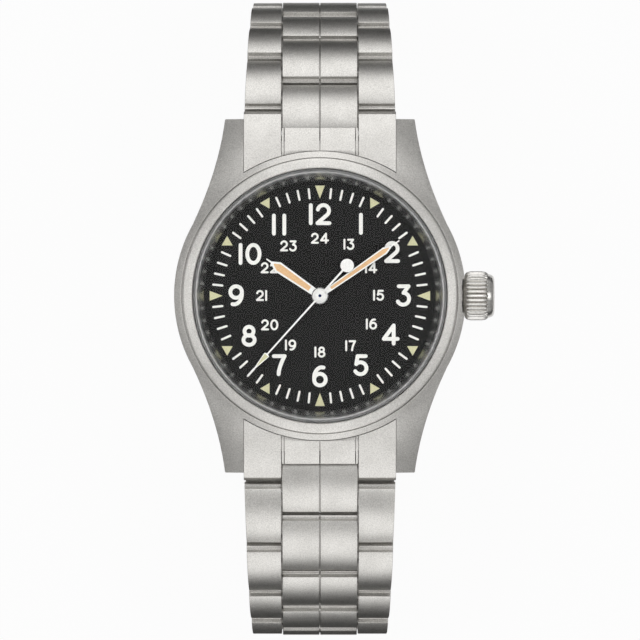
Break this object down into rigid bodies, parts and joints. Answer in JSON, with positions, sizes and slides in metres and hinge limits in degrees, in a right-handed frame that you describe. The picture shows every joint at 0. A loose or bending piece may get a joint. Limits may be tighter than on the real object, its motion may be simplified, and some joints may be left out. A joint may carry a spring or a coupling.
{
  "type": "field watch",
  "caption": "Round steel field watch with a black dial and a fluted crown, on a three-column link bracelet closed in a loop by a folding clasp.",
  "frame": {"origin": "on the clasp cover's flat outer face, straight below the centre of the dial", "axes": "+Z out of the dial, +Y towards 12 o'clock, +X towards the crown"},
  "size_m": [0.0419, 0.0848, 0.0458],
  "materials": {
    "matte_steel": "bead-blasted",
    "polished_steel": "polished",
    "brass": "fine matt",
    "crystal": "polished",
    "dial_black": "matt",
    "lume": "matt",
    "hand_white": "satin"
  },
  "bodies": {
    "head": {"case": "matte_steel", "case_back": "matte_steel", "bezel": "matte_steel", "crystal": "crystal", "rehaut_ring": "dial_black", "dial": "dial_black", "dial_lume": "lume", "upper_end_link": "matte_steel", "lower_end_link": "matte_steel", "upper_spring_bar": "polished_steel", "lower_spring_bar": "polished_steel", "main_plate": "brass", "train_bridge": "brass", "balance_cock": "brass", "hairspring": "polished_steel"},
    "hour_hand": {"hour_hand": "hand_white"},
    "minute_hand": {"minute_hand": "hand_white"},
    "seconds": {"fourth_wheel": "brass", "second_hand": "hand_white"},
    "centre_wheel": {"centre_wheel": "brass"},
    "third_wheel": {"third_wheel": "brass"},
    "escape_wheel": {"escape_wheel": "polished_steel"},
    "barrel": {"barrel": "brass"},
    "pallet_fork": {"pallet_fork": "polished_steel"},
    "balance": {"balance_wheel": "brass"},
    "stem": {"winding_stem": "polished_steel"},
    "crown": {"crown": "matte_steel"},
    "upper_centre_link_1": {"upper_centre_link_1": "matte_steel"},
    "upper_outer_links_1": {"upper_outer_links_1": "matte_steel"},
    "upper_centre_link_2": {"upper_centre_link_2": "matte_steel"},
    "upper_outer_links_2": {"upper_outer_links_2": "matte_steel"},
    "upper_centre_link_3": {"upper_centre_link_3": "matte_steel"},
    "upper_outer_links_3": {"upper_outer_links_3": "matte_steel"},
    "upper_centre_link_4": {"upper_centre_link_4": "matte_steel"},
    "upper_outer_links_4": {"upper_outer_links_4": "matte_steel"},
    "upper_centre_link_5": {"upper_centre_link_5": "matte_steel"},
    "upper_outer_links_5": {"upper_outer_links_5": "matte_steel"},
    "upper_centre_link_6": {"upper_centre_link_6": "matte_steel"},
    "upper_outer_links_6": {"upper_outer_links_6": "matte_steel"},
    "lower_centre_link_1": {"lower_centre_link_1": "matte_steel"},
    "lower_outer_links_1": {"lower_outer_links_1": "matte_steel"},
    "lower_centre_link_2": {"lower_centre_link_2": "matte_steel"},
    "lower_outer_links_2": {"lower_outer_links_2": "matte_steel"},
    "lower_centre_link_3": {"lower_centre_link_3": "matte_steel"},
    "lower_outer_links_3": {"lower_outer_links_3": "matte_steel"},
    "lower_centre_link_4": {"lower_centre_link_4": "matte_steel"},
    "lower_outer_links_4": {"lower_outer_links_4": "matte_steel"},
    "lower_centre_link_5": {"lower_centre_link_5": "matte_steel"},
    "lower_outer_links_5": {"lower_outer_links_5": "matte_steel"},
    "lower_centre_link_6": {"lower_centre_link_6": "matte_steel"},
    "lower_outer_links_6": {"lower_outer_links_6": "matte_steel"},
    "lower_centre_link_7": {"lower_centre_link_7": "matte_steel"},
    "lower_outer_links_7": {"lower_outer_links_7": "matte_steel"},
    "end_blade": {"clasp_end_blade": "matte_steel"},
    "middle_blade": {"clasp_middle_blade": "matte_steel"},
    "clasp_cover": {"clasp_cover": "matte_steel"},
    "button_right": {"clasp_button_right": "matte_steel"},
    "button_left": {"clasp_button_left": "matte_steel"}
  },
  "joints": [
    {"name": "seconds_run", "type": "hinge", "parent": "head", "child": "seconds", "pos_m": [0, 0, 0.04056], "axis": [0, 0, 1], "continuous": true},
    {"name": "third_run", "type": "hinge", "parent": "head", "child": "third_wheel", "pos_m": [0.00193, -0.00333, 0.04056], "axis": [0, 0, 1], "continuous": true},
    {"name": "centre_run", "type": "hinge", "parent": "head", "child": "centre_wheel", "pos_m": [0, 0, 0.04056], "axis": [0, 0, 1], "continuous": true},
    {"name": "escape_run", "type": "hinge", "parent": "head", "child": "escape_wheel", "pos_m": [-0.00383, -0.0014, 0.04056], "axis": [0, 0, 1], "continuous": true},
    {"name": "barrel_run", "type": "hinge", "parent": "head", "child": "barrel", "pos_m": [0, 0.00568, 0.04056], "axis": [0, 0, 1], "continuous": true},
    {"name": "minute_set", "type": "hinge", "parent": "head", "child": "minute_hand", "pos_m": [0, 0, 0.04056], "axis": [0, 0, 1], "continuous": true},
    {"name": "hour_set", "type": "hinge", "parent": "head", "child": "hour_hand", "pos_m": [0, 0, 0.04056], "axis": [0, 0, 1], "continuous": true},
    {"name": "pallet_rock", "type": "hinge", "parent": "head", "child": "pallet_fork", "pos_m": [-0.00595, -0.00217, 0.04056], "axis": [0, 0, 1], "range_deg": [-5, 5]},
    {"name": "balance_swing", "type": "hinge", "parent": "head", "child": "balance", "pos_m": [-0.00792, -0.00288, 0.04056], "axis": [0, 0, 1], "range_deg": [-270, 270]},
    {"name": "stem_pull", "type": "slide", "parent": "head", "child": "stem", "axis": [1, 0, 0], "range_m": [0, 0.001]},
    {"name": "crown_turn", "type": "hinge", "parent": "stem", "child": "crown", "pos_m": [0.01865, 0, 0.04056], "axis": [1, 0, 0], "continuous": true},
    {"name": "upper_centre_link_1_pivot", "type": "hinge", "parent": "head", "child": "upper_centre_link_1", "pos_m": [0, 0.0221, 0.03936], "axis": [1, 0, 0], "range_deg": [0, 27]},
    {"name": "upper_outer_links_1_pivot", "type": "hinge", "parent": "upper_centre_link_1", "child": "upper_outer_links_1", "pos_m": [0, 0.0258, 0.03748], "axis": [1, 0, 0], "range_deg": [0, 7.7]},
    {"name": "upper_centre_link_2_pivot", "type": "hinge", "parent": "upper_outer_links_1", "child": "upper_centre_link_2", "pos_m": [0, 0.02921, 0.03511], "axis": [1, 0, 0], "range_deg": [0, 9.6]},
    {"name": "upper_outer_links_2_pivot", "type": "hinge", "parent": "upper_centre_link_2", "child": "upper_outer_links_2", "pos_m": [0, 0.03218, 0.03221], "axis": [1, 0, 0], "range_deg": [0, 13.7]},
    {"name": "upper_centre_link_3_pivot", "type": "hinge", "parent": "upper_outer_links_2", "child": "upper_centre_link_3", "pos_m": [0, 0.03438, 0.0287], "axis": [1, 0, 0], "range_deg": [0, 7]},
    {"name": "upper_outer_links_3_pivot", "type": "hinge", "parent": "upper_centre_link_3", "child": "upper_outer_links_3", "pos_m": [0, 0.03613, 0.02493], "axis": [1, 0, 0], "range_deg": [0, 6]},
    {"name": "upper_centre_link_4_pivot", "type": "hinge", "parent": "upper_outer_links_3", "child": "upper_centre_link_4", "pos_m": [0, 0.03748, 0.02101], "axis": [1, 0, 0], "range_deg": [0, 9]},
    {"name": "upper_outer_links_4_pivot", "type": "hinge", "parent": "upper_centre_link_4", "child": "upper_outer_links_4", "pos_m": [0, 0.0382, 0.01692], "axis": [1, 0, 0], "range_deg": [0, 17]},
    {"name": "upper_centre_link_5_pivot", "type": "hinge", "parent": "upper_outer_links_4", "child": "upper_centre_link_5", "pos_m": [0, 0.0377, 0.0128], "axis": [1, 0, 0], "range_deg": [0, 19]},
    {"name": "upper_outer_links_5_pivot", "type": "hinge", "parent": "upper_centre_link_5", "child": "upper_outer_links_5", "pos_m": [0, 0.03588, 0.00907], "axis": [1, 0, 0], "range_deg": [0, 19]},
    {"name": "upper_centre_link_6_pivot", "type": "hinge", "parent": "upper_outer_links_5", "child": "upper_centre_link_6", "pos_m": [0, 0.03294, 0.00614], "axis": [1, 0, 0], "range_deg": [0, 19]},
    {"name": "upper_outer_links_6_pivot", "type": "hinge", "parent": "upper_centre_link_6", "child": "upper_outer_links_6", "pos_m": [0, 0.02921, 0.00432], "axis": [1, 0, 0], "range_deg": [0, 16]},
    {"name": "lower_centre_link_1_pivot", "type": "hinge", "parent": "head", "child": "lower_centre_link_1", "pos_m": [0, -0.0221, 0.03936], "axis": [-1, 0, 0], "range_deg": [0, 5]},
    {"name": "lower_outer_links_1_pivot", "type": "hinge", "parent": "lower_centre_link_1", "child": "lower_outer_links_1", "pos_m": [0, -0.02623, 0.039], "axis": [-1, 0, 0], "range_deg": [0, 8]},
    {"name": "lower_centre_link_2_pivot", "type": "hinge", "parent": "lower_outer_links_1", "child": "lower_centre_link_2", "pos_m": [0, -0.03028, 0.03806], "axis": [-1, 0, 0], "range_deg": [0, 11]},
    {"name": "lower_outer_links_2_pivot", "type": "hinge", "parent": "lower_centre_link_2", "child": "lower_outer_links_2", "pos_m": [0, -0.03407, 0.03638], "axis": [-1, 0, 0], "range_deg": [0, 17]},
    {"name": "lower_centre_link_3_pivot", "type": "hinge", "parent": "lower_outer_links_2", "child": "lower_centre_link_3", "pos_m": [0, -0.0372, 0.03365], "axis": [-1, 0, 0], "range_deg": [0, 12.5]},
    {"name": "lower_outer_links_3_pivot", "type": "hinge", "parent": "lower_centre_link_3", "child": "lower_outer_links_3", "pos_m": [0, -0.03967, 0.03032], "axis": [-1, 0, 0], "range_deg": [0, 8]},
    {"name": "lower_centre_link_4_pivot", "type": "hinge", "parent": "lower_outer_links_3", "child": "lower_centre_link_4", "pos_m": [0, -0.04165, 0.02667], "axis": [-1, 0, 0], "range_deg": [0, 8]},
    {"name": "lower_outer_links_4_pivot", "type": "hinge", "parent": "lower_centre_link_4", "child": "lower_outer_links_4", "pos_m": [0, -0.0431, 0.02278], "axis": [-1, 0, 0], "range_deg": [0, 7.5]},
    {"name": "lower_centre_link_5_pivot", "type": "hinge", "parent": "lower_outer_links_4", "child": "lower_centre_link_5", "pos_m": [0, -0.04404, 0.01874], "axis": [-1, 0, 0], "range_deg": [0, 15]},
    {"name": "lower_outer_links_5_pivot", "type": "hinge", "parent": "lower_centre_link_5", "child": "lower_outer_links_5", "pos_m": [0, -0.04389, 0.01459], "axis": [-1, 0, 0], "range_deg": [0, 16]},
    {"name": "lower_centre_link_6_pivot", "type": "hinge", "parent": "lower_outer_links_5", "child": "lower_centre_link_6", "pos_m": [0, -0.04261, 0.01065], "axis": [-1, 0, 0], "range_deg": [0, 18]},
    {"name": "lower_outer_links_6_pivot", "type": "hinge", "parent": "lower_centre_link_6", "child": "lower_outer_links_6", "pos_m": [0, -0.04017, 0.00729], "axis": [-1, 0, 0], "range_deg": [0, 18]},
    {"name": "lower_centre_link_7_pivot", "type": "hinge", "parent": "lower_outer_links_6", "child": "lower_centre_link_7", "pos_m": [0, -0.03681, 0.00485], "axis": [-1, 0, 0], "range_deg": [0, 16]},
    {"name": "lower_outer_links_7_pivot", "type": "hinge", "parent": "lower_centre_link_7", "child": "lower_outer_links_7", "pos_m": [0, -0.03291, 0.00343], "axis": [-1, 0, 0], "range_deg": [0, 14]},
    {"name": "end_blade_pivot", "type": "hinge", "parent": "upper_outer_links_6", "child": "end_blade", "pos_m": [0, 0.02513, 0.0036], "axis": [1, 0, 0], "range_deg": [0, 10]},
    {"name": "clasp_open", "type": "hinge", "parent": "end_blade", "child": "middle_blade", "pos_m": [0, -0.02, 0.00255], "axis": [-1, 0, 0], "range_deg": [0, 165]},
    {"name": "cover_fold", "type": "hinge", "parent": "middle_blade", "child": "clasp_cover", "pos_m": [0, 0.0145, 0.002], "axis": [-1, 0, 0], "range_deg": [-165, 0]},
    {"name": "button_right_press", "type": "slide", "parent": "clasp_cover", "child": "button_right", "axis": [-1, 0, 0], "range_m": [0, 0.0006], "stiffness_N_per_m": 1000},
    {"name": "button_left_press", "type": "slide", "parent": "clasp_cover", "child": "button_left", "axis": [1, 0, 0], "range_m": [0, 0.0006], "stiffness_N_per_m": 1000}
  ],
  "couplings": [
    {"joint": "third_run", "follows": "seconds_run", "ratio": -0.12534},
    {"joint": "centre_run", "follows": "seconds_run", "ratio": 0.01571},
    {"joint": "escape_run", "follows": "seconds_run", "ratio": -8.9903},
    {"joint": "barrel_run", "follows": "seconds_run", "ratio": -0.001887},
    {"joint": "hour_set", "follows": "minute_set", "ratio": 0.083333},
    {"joint": "cover_fold", "follows": "clasp_open", "ratio": -1}
  ]
}
